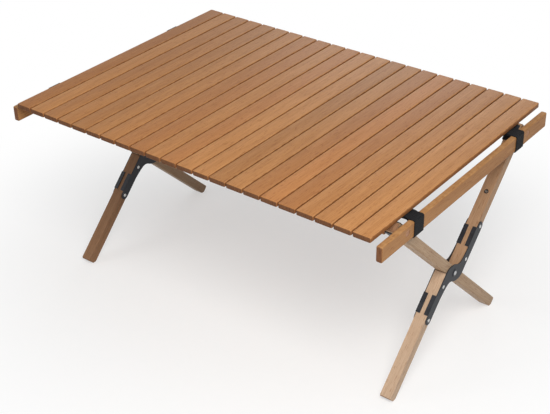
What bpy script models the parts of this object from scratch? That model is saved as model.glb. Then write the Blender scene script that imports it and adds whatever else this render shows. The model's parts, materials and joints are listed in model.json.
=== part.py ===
"""Folding camping table: a rolling top of wooden slats on two crossed wooden leg frames.

Metres, +Z up. X runs across the slats (the long way), Y along them. The origin is on the
ground under the middle of the table. Y is negative at the near slat ends.
"""
import math

import bmesh
import bpy
from mathutils import Matrix, Vector

# Driving sizes of the top
SLAT_COUNT = 22
SLAT_LENGTH = 0.600
SLAT_WIDTH = 0.0355
SLAT_GAP = 0.0025
SLAT_THICKNESS = 0.010
SLAT_EDGE = 0.0012
TABLE_HEIGHT = 0.400

# End rails
RAIL_GAP = 0.008
RAIL_THICKNESS = 0.012
RAIL_HEIGHT = 0.031
RAIL_DROP = 0.0133
RAIL_INSET = 0.0045
RAIL_EDGE = 0.0025

# Legs
LEG_THICKNESS = 0.023
LEG_WIDTH = 0.020
LEG_A_ANGLE = math.radians(44.3)
LEG_B_ANGLE = math.radians(45.1)
HALF_CLEARANCE = 0.0025
TOP_OVERRUN = 0.013
TOP_ROUND = 0.005
FOOT_FLAT = 0.008
FOOT_ROUND = 0.004
CROSSING_GAP = 0.0015
LEFT_FRAME_INSET = 0.054

# Bolts that join rails and legs
BOLT_INSET = 0.083
BOLT_DROP = 0.026
BOLT_RADIUS = 0.003
BOLT_HEAD_RADIUS = 0.006
BOLT_HEAD_DEPTH = 0.003
PLUG_DEPTH = 0.004
COLLAR_RADIUS = 0.0065
BOLT_ENTRY = 0.009

# Steel joint plates
PLATE_THICKNESS = 0.0015
PLATE_ARM_HALF = 0.0095
HUB_RADIUS = 0.018
HUB_SHOULDER = (0.009, 0.029)
HUB_SIDE = (-0.0156, 0.0135)
ARM_ROOT = (0.002, 0.018)
RIVET_NEAR = 0.035
RIVET_FAR = 0.103
TAB_START = 0.057
TAB_LENGTH = 0.040
TAB_REACH = 0.007
RIVET_RADIUS = 0.0025
RIVET_HEAD_RADIUS = 0.0042
RIVET_HEAD_HEIGHT = 0.0012
PIVOT_RADIUS = 0.0035
PIVOT_HEAD_RADIUS = 0.006
PIVOT_HEAD_HEIGHT = 0.002
DOME = ((0.0, 1.0), (0.7, 0.82), (1.0, 0.48))

# Steel caps round the leg tops
CAP_THICKNESS = 0.0015
CAP_BELOW = 0.028
CAP_ABOVE = 0.008
CAP_REACH = 0.021

# Insert nut in the upper half legs
INSERT_DISTANCE = 0.169
INSERT_RADIUS = 0.0042
INSERT_DEPTH = 0.009
INSERT_BORE = 0.0022

# Stretchers between the two frames
STRETCHER_WIDTH = 0.018
STRETCHER_HEIGHT = 0.026

# Webbing
STRAP_WIDTH = 0.030
STRAP_THICKNESS = 0.002
STRAP_INSET = 0.118
STRAP_TAIL = 0.030
STRAP_BEND = 0.002

# Gaps
CLEAR = 0.0003
HOLE_CLEAR = 0.0004
OVERCUT = 0.002
ROUND_SIDES = 20
BEND_STEPS = 3
CORNER_ANGLE = math.radians(40)
SMOOTH_ANGLE = math.radians(35)
SHARPEST_MITRE = 0.5

PITCH = SLAT_WIDTH + SLAT_GAP
TOP_HALF = SLAT_COUNT * PITCH / 2 - SLAT_GAP / 2
RAIL_INNER = TOP_HALF + RAIL_GAP
RAIL_OUTER = RAIL_INNER + RAIL_THICKNESS
RAIL_TOP = TABLE_HEIGHT - RAIL_DROP
RAIL_BOTTOM = RAIL_TOP - RAIL_HEIGHT
SLAT_UNDERSIDE = TABLE_HEIGHT - SLAT_THICKNESS
LEG_OUTER = RAIL_INNER - STRAP_THICKNESS - 2 * CLEAR
LEG_INNER = LEG_OUTER - LEG_THICKNESS
HALF_OFFSET = LEG_WIDTH + HALF_CLEARANCE
BOLT_HEIGHT = TABLE_HEIGHT - BOLT_DROP
NEAR_TOP = Vector((0, BOLT_INSET - SLAT_LENGTH / 2, BOLT_HEIGHT))
FAR_TOP = Vector((0, SLAT_LENGTH / 2 - BOLT_INSET, BOLT_HEIGHT))

ALONG_A = Vector((0, math.cos(LEG_A_ANGLE), -math.sin(LEG_A_ANGLE)))
ACROSS_A = Vector((0, -math.sin(LEG_A_ANGLE), -math.cos(LEG_A_ANGLE)))
ALONG_B = Vector((0, math.cos(LEG_B_ANGLE), math.sin(LEG_B_ANGLE)))
ACROSS_B = Vector((0, math.sin(LEG_B_ANGLE), -math.cos(LEG_B_ANGLE)))
SPAN = (FAR_TOP - NEAR_TOP).length
TOP_TO_PIVOT = (SPAN * math.sin(LEG_B_ANGLE) - HALF_OFFSET) / math.sin(LEG_A_ANGLE + LEG_B_ANGLE)
PIVOT = NEAR_TOP + ALONG_A * TOP_TO_PIVOT
UPPER_HALF_LENGTH = (FAR_TOP - PIVOT).dot(ALONG_B)

X_AXIS = Vector((1, 0, 0))
Y_AXIS = Vector((0, 1, 0))
Z_AXIS = Vector((0, 0, 1))
SIDES = (("right", 1), ("left", -1))


def clear_scene():
    for old in list(bpy.data.objects):
        bpy.data.objects.remove(old, do_unlink=True)


def make_material(name, colour, roughness, metallic=0.0):
    material = bpy.data.materials.new(name)
    material.use_nodes = True
    shader = material.node_tree.nodes["Principled BSDF"]
    shader.inputs["Base Color"].default_value = (*colour, 1.0)
    shader.inputs["Roughness"].default_value = roughness
    shader.inputs["Metallic"].default_value = metallic
    material.diffuse_color = (*colour, 1.0)
    return material


def make_empty(name, place):
    empty = bpy.data.objects.new(name, None)
    empty.location = place
    bpy.context.scene.collection.objects.link(empty)
    return empty


def make_object(name, mesh_source, material, parent):
    """Turns a bmesh in world places into a named object whose origin is its parent empty."""
    mesh_source.transform(Matrix.Translation(-parent.location))
    bmesh.ops.recalc_face_normals(mesh_source, faces=mesh_source.faces)
    mesh = bpy.data.meshes.new(name)
    mesh_source.to_mesh(mesh)
    mesh_source.free()
    mesh.materials.append(material)
    piece = bpy.data.objects.new(name, mesh)
    bpy.context.scene.collection.objects.link(piece)
    piece.parent = parent
    return piece


def prism(outline, low, high, origin, first, second, up):
    """Extrudes an outline in the plane of first and second from low to high along up."""
    solid = bmesh.new()
    base = [solid.verts.new(origin + first * a + second * b + up * low) for a, b in outline]
    face = solid.faces.new(base)
    extruded = bmesh.ops.extrude_face_region(solid, geom=[face])
    moved = [item for item in extruded["geom"] if isinstance(item, bmesh.types.BMVert)]
    bmesh.ops.translate(solid, verts=moved, vec=up * (high - low))
    return solid


def round_corners(points, radii, steps=4):
    """Replaces each corner that has a radius with an arc."""
    rounded = []
    count = len(points)
    for index, radius in enumerate(radii):
        corner = Vector(points[index])
        if radius == 0:
            rounded.append(tuple(corner))
            continue
        before = (Vector(points[index - 1]) - corner).normalized()
        after = (Vector(points[(index + 1) % count]) - corner).normalized()
        half = before.angle(after) / 2
        centre = corner + (before + after).normalized() * radius / math.sin(half)
        start = corner + before * radius / math.tan(half)
        end = corner + after * radius / math.tan(half)
        sweep = (start - centre).angle_signed(end - centre)
        for step in range(steps + 1):
            turned = (start - centre).copy()
            turned.rotate(Matrix.Rotation(-sweep * step / steps, 2))
            rounded.append(tuple(centre + turned))
    return rounded


def arc(centre, radius, start, end, steps=8):
    turns = [math.radians(start + (end - start) * k / steps) for k in range(steps + 1)]
    return [(centre[0] + radius * math.cos(t), centre[1] + radius * math.sin(t)) for t in turns]


def box(low, high):
    solid = bmesh.new()
    bmesh.ops.create_cube(solid, size=1.0)
    size = Vector(high) - Vector(low)
    bmesh.ops.scale(solid, vec=size, verts=solid.verts)
    bmesh.ops.translate(solid, vec=(Vector(high) + Vector(low)) / 2, verts=solid.verts)
    return solid


def turned(profile, origin, axis, side, sides=ROUND_SIDES):
    """Turns a profile of (distance along axis, radius) into a closed round solid."""
    third = axis.cross(side)
    solid = bmesh.new()
    rings = []
    for distance, radius in profile:
        ring = []
        for k in range(sides):
            turn = 2 * math.pi * k / sides
            way = side * math.cos(turn) + third * math.sin(turn)
            ring.append(solid.verts.new(origin + axis * distance + way * radius))
        rings.append(ring)
    for lower, upper in zip(rings, rings[1:]):
        for k in range(sides):
            after = (k + 1) % sides
            solid.faces.new((lower[k], lower[after], upper[after], upper[k]))
    solid.faces.new(rings[0])
    solid.faces.new(rings[-1])
    return solid


def bevel(piece, width, segments):
    modifier = piece.modifiers.new("edge", "BEVEL")
    modifier.width = width
    modifier.segments = segments
    modifier.limit_method = "ANGLE"
    modifier.angle_limit = CORNER_ANGLE


def smooth(piece):
    piece.data.shade_smooth()
    piece.data.set_sharp_from_angle(angle=SMOOTH_ANGLE)


def drill(piece, origin, axis, side, radius, start, end):
    """Cuts a round hole from start to end along an axis through origin."""
    cutter = make_object(
        piece.name + "_hole",
        turned([(start, radius), (end, radius)], origin, axis, side),
        piece.data.materials[0],
        piece.parent,
    )
    cutter.hide_render = True
    cutter.display_type = "WIRE"
    modifier = piece.modifiers.new("hole", "BOOLEAN")
    modifier.operation = "DIFFERENCE"
    modifier.solver = "EXACT"
    modifier.object = cutter


def mirrored(outer, inner, side):
    """The low and high X of a layer that is given on the right side of the table."""
    return (inner, outer) if side > 0 else (-outer, -inner)


def slat_centre(index):
    return (index - (SLAT_COUNT - 1) / 2) * PITCH


def build_slats(wood, lift):
    for index in range(SLAT_COUNT):
        middle = slat_centre(index)
        low = (middle - SLAT_WIDTH / 2, -SLAT_LENGTH / 2, SLAT_UNDERSIDE)
        high = (middle + SLAT_WIDTH / 2, SLAT_LENGTH / 2, TABLE_HEIGHT)
        hinge = make_empty(f"slat_hinge_{index + 1:02d}", Vector(slat_hinge_place(index)))
        hinge.parent = lift
        hinge.matrix_parent_inverse = Matrix.Translation(-lift.location)
        slat = make_object(f"slat_{index + 1:02d}", box(low, high), wood, hinge)
        bevel(slat, SLAT_EDGE, 2)


def slat_hinge_place(index):
    """A slat turns on the webbing, at the gap on its side towards the middle of the table."""
    towards_middle = -1 if slat_centre(index) > 0 else 1
    x = slat_centre(index) + towards_middle * PITCH / 2
    return (x, 0, SLAT_UNDERSIDE - CLEAR - STRAP_THICKNESS / 2)


def build_rail(label, side, wood, base):
    low_x, high_x = mirrored(RAIL_OUTER, RAIL_INNER, side)
    reach = SLAT_LENGTH / 2 - RAIL_INSET
    rail = make_object(
        f"rail_{label}",
        box((low_x, -reach, RAIL_BOTTOM), (high_x, reach, RAIL_TOP)),
        wood,
        base,
    )
    bevel(rail, RAIL_EDGE, 3)
    axis = X_AXIS * side
    for top in (NEAR_TOP, FAR_TOP):
        drill(rail, top, axis, Y_AXIS, BOLT_RADIUS + HOLE_CLEAR, RAIL_INNER - OVERCUT, RAIL_OUTER + OVERCUT)
        recess = RAIL_OUTER - PLUG_DEPTH - BOLT_HEAD_DEPTH - CLEAR
        drill(rail, top, axis, Y_AXIS, BOLT_HEAD_RADIUS + HOLE_CLEAR, recess, RAIL_OUTER + OVERCUT)


def frame_inset(side):
    """How far a leg frame stands in from its rail, past the strap's room. Only the left one does."""
    return 0 if side > 0 else LEFT_FRAME_INSET


def build_rail_bolts(label, side, steel, base):
    """The far bolts carry leg B, on a spacer collar. The near bolts end in the rail, where leg A lets go."""
    axis = X_AXIS * side
    inset = frame_inset(side)
    head_outer = RAIL_OUTER - PLUG_DEPTH
    head_inner = head_outer - BOLT_HEAD_DEPTH
    near = [
        (RAIL_INNER + CLEAR, BOLT_RADIUS),
        (head_inner, BOLT_RADIUS),
        (head_inner, BOLT_HEAD_RADIUS),
        (head_outer, BOLT_HEAD_RADIUS),
    ]
    collar_outer = RAIL_INNER - CLEAR
    collar_inner = LEG_OUTER - inset + CLEAR
    far = [
        (stretcher_end(side) + CLEAR - BOLT_ENTRY, BOLT_RADIUS),
        (collar_inner, BOLT_RADIUS),
        (collar_inner, COLLAR_RADIUS),
        (collar_outer, COLLAR_RADIUS),
        (collar_outer, BOLT_RADIUS),
        (head_inner, BOLT_RADIUS),
        (head_inner, BOLT_HEAD_RADIUS),
        (head_outer, BOLT_HEAD_RADIUS),
    ]
    for place, top, profile in (("near", NEAR_TOP, near), ("far", FAR_TOP, far)):
        bolt = make_object(
            f"rail_bolt_{label}_{place}", turned(profile, top, axis, Y_AXIS), steel, base
        )
        smooth(bolt)


def foot_points(origin, along, across, half_low, half_high):
    """Where a square-cut foot meets the ground.

    half_low and half_high are the across places of the face nearer the ground and of the
    face further from it. Returns the outline's last points, in across and along.
    """
    slope = abs(along.z)
    rise = abs(across.z)
    depth = FOOT_FLAT * slope * rise
    low_start = (-origin.z - across.z * half_low) / along.z
    end = (-depth - origin.z - across.z * half_low) / along.z
    share = depth / rise
    towards_high = 1 if half_high > half_low else -1
    ground_on_end = (half_low + towards_high * share, end)
    return (half_low, low_start), ground_on_end, (half_high, end)


def build_leg_a(label, side, wood, frame_a):
    half = LEG_WIDTH / 2
    start = -TOP_TO_PIVOT - TOP_OVERRUN
    on_face, on_end, high_corner = foot_points(PIVOT, ALONG_A, ACROSS_A, half, -half)
    outline = [(-half, start), (half, start), on_face, on_end, high_corner]
    outline = round_corners(outline, [TOP_ROUND, TOP_ROUND, 0, 0, FOOT_ROUND])
    low_x, high_x = mirrored(LEG_OUTER, LEG_INNER, side)
    leg = make_object(
        f"leg_a_{label}",
        prism(
            [(s, v) for v, s in outline], low_x, high_x, PIVOT, ALONG_A, ACROSS_A, X_AXIS
        ),
        wood,
        frame_a,
    )
    drill(leg, PIVOT, X_AXIS, Y_AXIS, PIVOT_RADIUS + HOLE_CLEAR, low_x - OVERCUT, high_x + OVERCUT)


def build_leg_b(label, side, wood, frame_b):
    half = LEG_WIDTH / 2
    low_x, high_x = mirrored(LEG_OUTER, LEG_INNER, side)
    start = half + CROSSING_GAP
    upper_end = UPPER_HALF_LENGTH + TOP_OVERRUN
    upper = [
        (HALF_OFFSET - half, start),
        (HALF_OFFSET + half, start),
        (HALF_OFFSET + half, upper_end),
        (HALF_OFFSET - half, upper_end),
    ]
    upper = round_corners(upper, [0, 0, TOP_ROUND, TOP_ROUND])
    on_face, on_end, high_corner = foot_points(
        PIVOT, ALONG_B, ACROSS_B, half - HALF_OFFSET, -half - HALF_OFFSET
    )
    lower = [
        (-HALF_OFFSET + half, -start),
        (-HALF_OFFSET - half, -start),
        high_corner,
        on_end,
        on_face,
    ]
    lower = round_corners(lower, [0, 0, FOOT_ROUND, 0, 0])
    for part, outline, way in (("upper", upper, 1), ("lower", lower, -1)):
        leg = make_object(
            f"leg_b_{part}_{label}",
            prism(
                [(s, v) for v, s in outline], low_x, high_x, PIVOT, ALONG_B, ACROSS_B, X_AXIS
            ),
            wood,
            frame_b,
        )
        for distance in (RIVET_NEAR, RIVET_FAR):
            hole = PIVOT + ALONG_B * distance * way + ACROSS_B * HALF_OFFSET * way
            drill(leg, hole, X_AXIS, Y_AXIS, RIVET_RADIUS + HOLE_CLEAR, low_x - OVERCUT, high_x + OVERCUT)
        if part == "upper":
            radius = BOLT_RADIUS + HOLE_CLEAR
            drill(leg, FAR_TOP, X_AXIS, Y_AXIS, radius, low_x - OVERCUT, high_x + OVERCUT)
            socket = insert_place(side)
            radius = INSERT_RADIUS + HOLE_CLEAR
            drill(leg, socket, ACROSS_B, X_AXIS, radius, -OVERCUT, INSERT_DEPTH + CLEAR)


def insert_place(side):
    face = HALF_OFFSET - LEG_WIDTH / 2
    middle_x = side * (LEG_OUTER + LEG_INNER) / 2
    return PIVOT + ALONG_B * INSERT_DISTANCE + ACROSS_B * face + X_AXIS * middle_x


def build_insert(label, side, steel, frame_b):
    profile = [
        (CLEAR, INSERT_BORE),
        (CLEAR, INSERT_RADIUS),
        (INSERT_DEPTH, INSERT_RADIUS),
        (INSERT_DEPTH, INSERT_BORE),
    ]
    solid = turned_ring(profile, insert_place(side), ACROSS_B, X_AXIS)
    smooth(make_object(f"insert_nut_{label}", solid, steel, frame_b))


def turned_ring(profile, origin, axis, side, sides=ROUND_SIDES):
    """Turns a closed profile of (distance, radius) into a ring with an open bore."""
    solid = turned(profile, origin, axis, side, sides)
    caps = [face for face in solid.faces if len(face.verts) == sides]
    bmesh.ops.delete(solid, geom=caps, context="FACES_ONLY")
    solid.verts.ensure_lookup_table()
    last = (len(profile) - 1) * sides
    for k in range(sides):
        after = (k + 1) % sides
        corners = (solid.verts[last + k], solid.verts[last + after], solid.verts[after], solid.verts[k])
        solid.faces.new(corners)
    return solid


def cut_corners(points, rounds=2):
    """Softens an open run of points by cutting each corner at its quarter points."""
    for _ in range(rounds):
        softer = [points[0]]
        for first, second in zip(points, points[1:]):
            first = Vector(first)
            second = Vector(second)
            softer.append(tuple(first.lerp(second, 0.25)))
            softer.append(tuple(first.lerp(second, 0.75)))
        points = softer + [points[-1]]
    return points


def plate_outline():
    """One plate in across and along places round the pivot. It looks the same turned half round."""
    arm = HALF_OFFSET
    half = PLATE_ARM_HALF
    tip = arc((arm, RIVET_FAR), half, 0, 180)
    hub = cut_corners([
        (arm - half, TAB_START),
        HUB_SHOULDER,
        ARM_ROOT,
        HUB_SIDE,
        (-arm - half, -ARM_ROOT[0]),
        (-arm - half, -HUB_RADIUS),
    ])
    half_round = tip + hub
    return half_round + [(-v, -s) for v, s in half_round]


def build_plate(label, side, layer, steel, frame_b):
    """A joint plate with a bent tab on each arm, hooked over the leg's upper narrow face."""
    outward = 1 if layer == "outer" else -1
    if layer == "outer":
        inner_x = LEG_OUTER + CLEAR
    else:
        inner_x = LEG_INNER - CLEAR
    outer_x = inner_x + outward * PLATE_THICKNESS
    low_x, high_x = sorted((side * inner_x, side * outer_x))
    solid = prism(
        [(s, v) for v, s in plate_outline()], low_x, high_x, PIVOT, ALONG_B, ACROSS_B, X_AXIS
    )
    plate = make_object(f"joint_plate_{layer}_{label}", solid, steel, frame_b)
    half = LEG_WIDTH / 2
    arms = ((HALF_OFFSET - half, TAB_START), (-HALF_OFFSET - half, -TAB_START - TAB_LENGTH))
    for number, (face_v, start) in enumerate(arms):
        add_tab(plate, side, outward, outer_x, face_v, start, number)
    for way in (1, -1):
        for distance in (RIVET_NEAR, RIVET_FAR):
            hole = PIVOT + ALONG_B * distance * way + ACROSS_B * HALF_OFFSET * way
            drill(plate, hole, X_AXIS, Y_AXIS, RIVET_RADIUS + HOLE_CLEAR, low_x - OVERCUT, high_x + OVERCUT)
    drill(plate, PIVOT, X_AXIS, Y_AXIS, PIVOT_RADIUS + HOLE_CLEAR, low_x - OVERCUT, high_x + OVERCUT)


def add_tab(plate, side, outward, outer_x, face_v, start, number):
    """Joins an L-shaped tab to a plate: a foot that lies in the plate and a bent lip."""
    lip_near = face_v - CLEAR
    lip_far = lip_near - PLATE_THICKNESS
    foot_v = face_v + PLATE_ARM_HALF / 2
    bend_x = outer_x - outward * PLATE_THICKNESS
    tip_x = bend_x - outward * (CLEAR + TAB_REACH)
    outline = [
        (side * outer_x, lip_far),
        (side * outer_x, foot_v),
        (side * bend_x, foot_v),
        (side * bend_x, lip_near),
        (side * tip_x, lip_near),
        (side * tip_x, lip_far),
    ]
    solid = prism(outline, start, start + TAB_LENGTH, PIVOT, X_AXIS, ACROSS_B, ALONG_B)
    tab = make_object(f"{plate.name}_tab_{number}", solid, plate.data.materials[0], plate.parent)
    tab.hide_render = True
    tab.display_type = "WIRE"
    modifier = plate.modifiers.new("tab", "BOOLEAN")
    modifier.operation = "UNION"
    modifier.solver = "EXACT"
    modifier.object = tab


def pin_profile(inner, outer, radius, head_radius, head_height):
    """A pin from inner to outer with a low dome on each end, as (distance, radius) points."""
    low_dome = [(inner - head_height * rise, head_radius * share) for rise, share in reversed(DOME)]
    high_dome = [(outer + head_height * rise, head_radius * share) for rise, share in DOME]
    return low_dome + [(inner, radius), (outer, radius)] + high_dome


def build_rivets(label, side, steel, frame_b):
    grip = PLATE_THICKNESS + 2 * CLEAR
    outer = LEG_OUTER + grip
    inner = LEG_INNER - grip
    axis = X_AXIS * side
    profile = pin_profile(inner, outer, RIVET_RADIUS, RIVET_HEAD_RADIUS, RIVET_HEAD_HEIGHT)
    for part, way in (("upper", 1), ("lower", -1)):
        for place, distance in (("inner", RIVET_NEAR), ("outer", RIVET_FAR)):
            middle = PIVOT + ALONG_B * distance * way + ACROSS_B * HALF_OFFSET * way
            solid = turned(profile, middle, axis, Y_AXIS)
            smooth(make_object(f"rivet_{part}_{place}_{label}", solid, steel, frame_b))


def build_pivot_bolt(label, side, steel, frame_b):
    grip = PLATE_THICKNESS + 2 * CLEAR
    outer = LEG_OUTER + grip
    inner = LEG_INNER - grip
    profile = pin_profile(inner, outer, PIVOT_RADIUS, PIVOT_HEAD_RADIUS, PIVOT_HEAD_HEIGHT)
    solid = turned(profile, PIVOT, X_AXIS * side, Y_AXIS)
    smooth(make_object(f"pivot_bolt_{label}", solid, steel, frame_b))


def build_cap(name, side, top, along, across, steel, frame, hole):
    """A steel channel round a leg top. along points down the leg from its top bolt."""
    half = LEG_WIDTH / 2
    inner = half + CLEAR
    outer = inner + CAP_THICKNESS
    web_in = LEG_INNER - CLEAR
    web_out = web_in - CAP_THICKNESS
    lip = LEG_INNER + CAP_REACH
    outline = [
        (web_out, -outer),
        (lip, -outer),
        (lip, -inner),
        (web_in, -inner),
        (web_in, inner),
        (lip, inner),
        (lip, outer),
        (web_out, outer),
    ]
    outline = [(side * x, v) for x, v in outline]
    solid = prism(outline, -CAP_ABOVE, CAP_BELOW, top, X_AXIS, across, along)
    cap = make_object(name, solid, steel, frame)
    if hole:
        radius = BOLT_RADIUS + HOLE_CLEAR
        drill(cap, top, X_AXIS * side, Y_AXIS, radius, web_out - OVERCUT, web_in + OVERCUT)


def stretcher_end(side):
    return LEG_INNER - frame_inset(side) - CLEAR - CAP_THICKNESS - CLEAR


def build_stretcher(name, top, wood, frame, bored):
    low_z = RAIL_TOP - STRETCHER_HEIGHT
    half = STRETCHER_WIDTH / 2
    low = (-stretcher_end(-1), top.y - half, low_z)
    high = (stretcher_end(1), top.y + half, RAIL_TOP)
    stretcher = make_object(name, box(low, high), wood, frame)
    bevel(stretcher, SLAT_EDGE, 2)
    if bored:
        depth = BOLT_ENTRY + CLEAR
        for _, side in SIDES:
            axis = X_AXIS * side
            reach = stretcher_end(side)
            drill(stretcher, top, axis, Y_AXIS, BOLT_RADIUS + HOLE_CLEAR, reach - depth, reach + OVERCUT)


def move_left_frame(distance):
    """Sets the left leg frame in from its rail, with the shapes that cut and join its pieces."""
    starts = ("leg_", "joint_plate_", "rivet_", "pivot_bolt_", "insert_nut_")
    for piece in bpy.data.objects:
        if piece.type == "MESH" and "_left" in piece.name and piece.name.startswith(starts):
            piece.data.transform(Matrix.Translation(X_AXIS * distance))


def ribbon(path, thickness):
    """The outline of a band of constant thickness along an open path."""
    left = []
    right = []
    for index, point in enumerate(path):
        here = Vector(point)
        before = Vector(path[max(index - 1, 0)])
        after = Vector(path[min(index + 1, len(path) - 1)])
        arriving = (here - before) if index else (after - here)
        leaving = (after - here) if index < len(path) - 1 else (here - before)
        way = (arriving.normalized() + leaving.normalized()).normalized()
        widen = 1 / max(way.dot(leaving.normalized()), SHARPEST_MITRE)
        normal = Vector((-way.y, way.x)) * thickness / 2 * widen
        left.append(tuple(here + normal))
        right.append(tuple(here - normal))
    return left + right[::-1]


def strap_path():
    """Half of a strap in X and Z, from the middle of the table out and round the right rail."""
    half = STRAP_THICKNESS / 2
    under_slats = SLAT_UNDERSIDE - CLEAR - half
    over_rail = RAIL_TOP + CLEAR + half
    outside = RAIL_OUTER + CLEAR + half
    under_rail = RAIL_BOTTOM - CLEAR - half
    inside = RAIL_INNER - CLEAR - half
    tail = RAIL_TOP - half
    corners = [
        (0, under_slats),
        (TOP_HALF, under_slats),
        (RAIL_INNER, over_rail),
        (outside, over_rail),
        (outside, under_rail),
        (inside, under_rail),
        (inside, tail),
        (inside - STRAP_TAIL, tail),
    ]
    bends = [0, 0, 0, STRAP_BEND, STRAP_BEND, STRAP_BEND, STRAP_BEND, 0]
    return round_corners(corners, bends, BEND_STEPS)


def build_strap(name, middle_y, fabric, lift):
    right = strap_path()
    left = [(-x, z) for x, z in right[:0:-1]]
    outline = ribbon(left + right[1:], STRAP_THICKNESS)
    low = middle_y - STRAP_WIDTH / 2
    high = middle_y + STRAP_WIDTH / 2
    solid = prism([(z, x) for x, z in outline], low, high, Vector(), Z_AXIS, X_AXIS, Y_AXIS)
    make_object(name, solid, fabric, lift)


def build():
    clear_scene()
    slat_wood = make_material("slat_wood", (0.47, 0.24, 0.11), 0.55)
    rail_wood = make_material("rail_wood", (0.42, 0.20, 0.08), 0.55)
    leg_wood = make_material("leg_wood", (0.52, 0.36, 0.24), 0.6)
    black_steel = make_material("black_steel", (0.03, 0.033, 0.04), 0.45, 0.3)
    bright_steel = make_material("bright_steel", (0.55, 0.55, 0.56), 0.3, 1.0)
    webbing = make_material("webbing", (0.012, 0.012, 0.014), 0.85)

    base = make_empty("base", Vector((0, 0, BOLT_HEIGHT)))
    lift = make_empty("top_lift", Vector((0, 0, SLAT_UNDERSIDE)))
    frame_b = make_empty("fold_b", FAR_TOP)
    frame_a = make_empty("fold_a", PIVOT)

    build_slats(slat_wood, lift)
    for label, side in SIDES:
        build_rail(label, side, rail_wood, base)
        build_rail_bolts(label, side, bright_steel, base)
        build_leg_a(label, side, leg_wood, frame_a)
        build_leg_b(label, side, leg_wood, frame_b)
        for layer in ("outer", "inner"):
            build_plate(label, side, layer, black_steel, frame_b)
        build_rivets(label, side, bright_steel, frame_b)
        build_pivot_bolt(label, side, bright_steel, frame_b)
        build_insert(label, side, black_steel, frame_b)
        near_cap = f"leg_cap_{label}_near"
        far_cap = f"leg_cap_{label}_far"
        build_cap(near_cap, side, NEAR_TOP, ALONG_A, ACROSS_A, black_steel, frame_a, False)
        build_cap(far_cap, side, FAR_TOP, -ALONG_B, -ACROSS_B, black_steel, frame_b, True)
    move_left_frame(LEFT_FRAME_INSET)
    build_stretcher("stretcher_near", NEAR_TOP, rail_wood, frame_a, False)
    build_stretcher("stretcher_far", FAR_TOP, rail_wood, base, True)
    strap_y = SLAT_LENGTH / 2 - STRAP_INSET
    build_strap("strap_near", -strap_y, webbing, lift)
    build_strap("strap_far", strap_y, webbing, lift)


build()
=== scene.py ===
# %% [markdown]
# A folding camping table, built on a fixed frame
#
# The frame is the plain model of the table: every slat, rail, leg and steel plate stands in
# its place in metres, with the ground at zero height. X runs across the slats, Y along
# them. Here we dress that frame. Parts whose shape is right keep their mesh and get a real
# finish. Slats, rivets, pivot bolts, insert nuts and webbing are made again in finer form.

# %% Load the frame
import json
import math

import bmesh
import bpy
from mathutils import Matrix, Vector

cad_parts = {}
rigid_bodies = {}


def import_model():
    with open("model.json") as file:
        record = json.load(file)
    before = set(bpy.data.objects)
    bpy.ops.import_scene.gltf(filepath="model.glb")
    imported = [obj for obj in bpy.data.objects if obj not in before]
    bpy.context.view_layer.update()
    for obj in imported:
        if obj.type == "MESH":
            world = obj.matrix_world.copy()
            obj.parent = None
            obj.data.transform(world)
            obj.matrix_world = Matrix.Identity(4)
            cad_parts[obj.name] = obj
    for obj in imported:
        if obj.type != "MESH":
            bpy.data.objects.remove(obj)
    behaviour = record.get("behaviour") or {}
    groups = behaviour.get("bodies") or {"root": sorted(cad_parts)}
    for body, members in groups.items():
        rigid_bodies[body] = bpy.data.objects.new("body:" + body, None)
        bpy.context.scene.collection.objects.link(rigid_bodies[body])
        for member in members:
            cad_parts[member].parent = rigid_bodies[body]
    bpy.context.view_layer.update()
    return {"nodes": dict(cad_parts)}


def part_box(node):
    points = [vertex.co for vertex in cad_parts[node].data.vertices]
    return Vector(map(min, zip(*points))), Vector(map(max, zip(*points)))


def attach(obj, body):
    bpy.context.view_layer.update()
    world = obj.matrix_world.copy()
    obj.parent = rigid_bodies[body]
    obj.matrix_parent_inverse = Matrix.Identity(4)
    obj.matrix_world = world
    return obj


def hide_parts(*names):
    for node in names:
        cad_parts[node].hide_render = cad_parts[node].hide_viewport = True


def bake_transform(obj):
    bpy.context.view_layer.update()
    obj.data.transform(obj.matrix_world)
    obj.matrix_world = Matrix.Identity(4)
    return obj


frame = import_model()
nodes = frame["nodes"]

# %% [markdown]
# Sizes
#
# Most sizes are read from the frame's own nodes, so that a finer piece fits the one it
# stands for. The number of slats is written out, and so are the legs' slants, because a box
# can't tell them, and the strap's thickness, which is a little under the frame's. Small
# details that the frame doesn't hold, such as staples, get their sizes where they are made.

# %% Sizes read from the frame
SLATS = 22
SIDES = (("right", 1), ("left", -1))
slat_low, slat_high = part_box("slat_01")
SLAT_WIDTH = slat_high.x - slat_low.x
SLAT_LENGTH = slat_high.y - slat_low.y
SLAT_TOP = slat_high.z
SLAT_UNDER = slat_low.z
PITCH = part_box("slat_02")[0].x - slat_low.x
rail_low, rail_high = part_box("rail_right")
strap_low, strap_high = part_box("strap_near")
STRAP_WIDE = strap_high.y - strap_low.y
STRAP_THICK = 0.0016
STRAP_GAP = 0.0003
LEG_A_ANGLE = math.radians(44.3)
LEG_B_ANGLE = math.radians(45.1)
ALONG_A = Vector((0, math.cos(LEG_A_ANGLE), -math.sin(LEG_A_ANGLE)))
ALONG_B = Vector((0, math.cos(LEG_B_ANGLE), math.sin(LEG_B_ANGLE)))
ACROSS_B = Vector((0, math.sin(LEG_B_ANGLE), -math.cos(LEG_B_ANGLE)))
X_AXIS = Vector((1, 0, 0))
Y_AXIS = Vector((0, 1, 0))
Z_AXIS = Vector((0, 0, 1))
print("slat", round(SLAT_LENGTH, 4), round(SLAT_WIDTH, 4), "pitch", round(PITCH, 4))


def middle_of(node):
    low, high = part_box(node)
    return (low + high) / 2


# %% [markdown]
# A small language for finishes
#
# A finish is a web of nodes. Clicking fifty nodes together hides the idea, so we write the
# web as sums: a Signal wraps one socket, and adding or multiplying Signals adds the Math
# node that does it. A Recipe holds one material and makes every other kind of node.


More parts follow.
